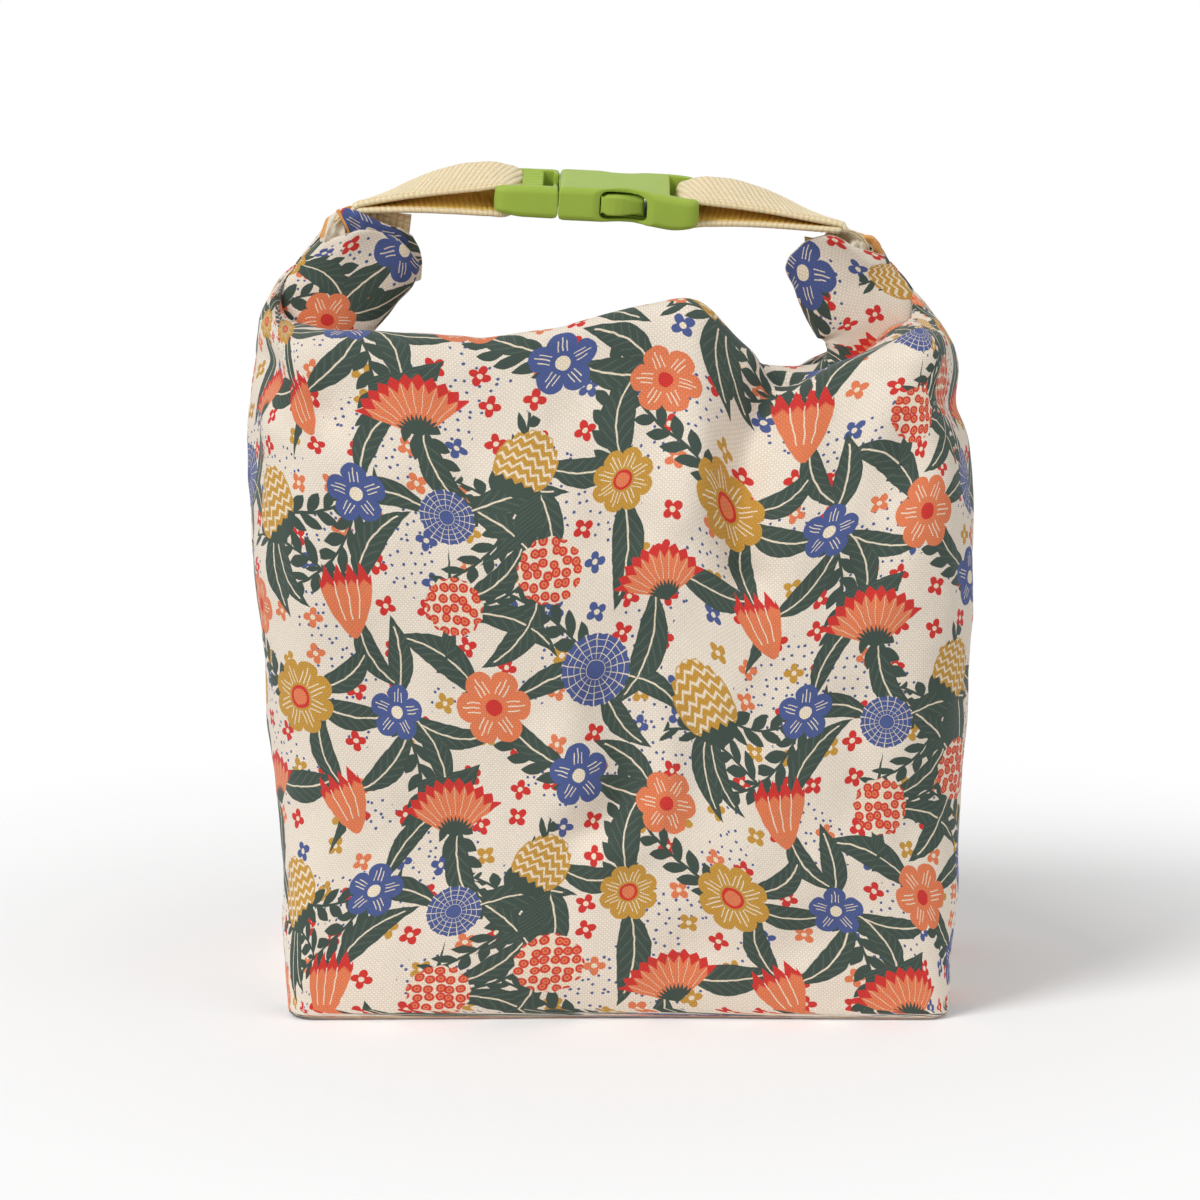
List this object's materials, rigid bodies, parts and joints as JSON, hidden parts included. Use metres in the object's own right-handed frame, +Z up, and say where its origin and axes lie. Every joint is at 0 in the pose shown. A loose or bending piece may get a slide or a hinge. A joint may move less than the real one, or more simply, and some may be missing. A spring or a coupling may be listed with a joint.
{
  "type": "lunch bag",
  "caption": "Roll-top lunch bag in padded floral canvas: mouth rolled down, its rolled ends bent up and joined as a handle by webbing and a side-release buckle.",
  "frame": {"origin": "middle of the flat base, on the surface the bag stands on", "axes": "+X to the right seen from the front, +Y to the back, +Z up"},
  "size_m": [0.2135, 0.1305, 0.2425],
  "materials": {
    "printed_canvas": "matte woven cotton, floral print",
    "foam": "matte foam wadding",
    "lining": "satin coated cloth",
    "binding": "matte woven tape",
    "webbing": "matte basket weave",
    "buckle_plastic": "satin"
  },
  "bodies": {
    "bag": {"outer_front": "printed_canvas", "outer_back": "printed_canvas", "foam_front": "foam", "foam_back": "foam", "lining_front": "lining", "lining_back": "lining", "outer_base": "printed_canvas", "foam_base": "foam", "lining_base": "lining", "rolled_top": "printed_canvas", "right_roll_end": "printed_canvas", "right_seam_binding": "binding"},
    "left_ear": {"left_roll_end": "printed_canvas", "left_seam_binding": "binding"},
    "handle_left": {"left_strap": "webbing", "male_buckle_frame": "buckle_plastic"},
    "handle_right": {"right_strap": "webbing", "female_buckle_housing": "buckle_plastic"},
    "front_prong": {"front_prong": "buckle_plastic"},
    "rear_prong": {"rear_prong": "buckle_plastic"}
  },
  "joints": [
    {"name": "buckle_release", "type": "slide", "parent": "bag", "child": "left_ear", "axis": [-0.9988, 0, 0.0489], "range_m": [0, 0.028], "deforming": ["outer_front", "outer_back", "foam_front", "foam_back", "lining_front", "lining_back", "front_prong", "rear_prong"]},
    {"name": "handle_swing", "type": "hinge", "parent": "bag", "child": "handle_right", "pos_m": [-0.006, 0.012, 0.2245], "axis": [0.9988, 0, -0.0489], "range_deg": [-40, 40], "stiffness_Nm_per_rad": 0.02, "deforming": ["right_strap"]},
    {"name": "handle_swing_left", "type": "hinge", "parent": "left_ear", "child": "handle_left", "pos_m": [-0.006, 0.012, 0.2245], "axis": [0.9988, 0, -0.0489], "range_deg": [-40, 40], "stiffness_Nm_per_rad": 0.02, "deforming": ["left_strap"]},
    {"name": "front_prong_squeeze", "type": "hinge", "parent": "handle_left", "child": "front_prong", "pos_m": [-0.01834, 0.00304, 0.23482], "axis": [0.0486, -0.0958, 0.9942], "range_deg": [0, 11], "stiffness_Nm_per_rad": 0.6},
    {"name": "rear_prong_squeeze", "type": "hinge", "parent": "handle_left", "child": "rear_prong", "pos_m": [-0.01826, 0.02096, 0.23655], "axis": [-0.0486, 0.0958, -0.9942], "range_deg": [0, 11], "stiffness_Nm_per_rad": 0.6}
  ],
  "couplings": [
    {"joint": "handle_swing_left", "follows": "handle_swing", "ratio": 1}
  ]
}
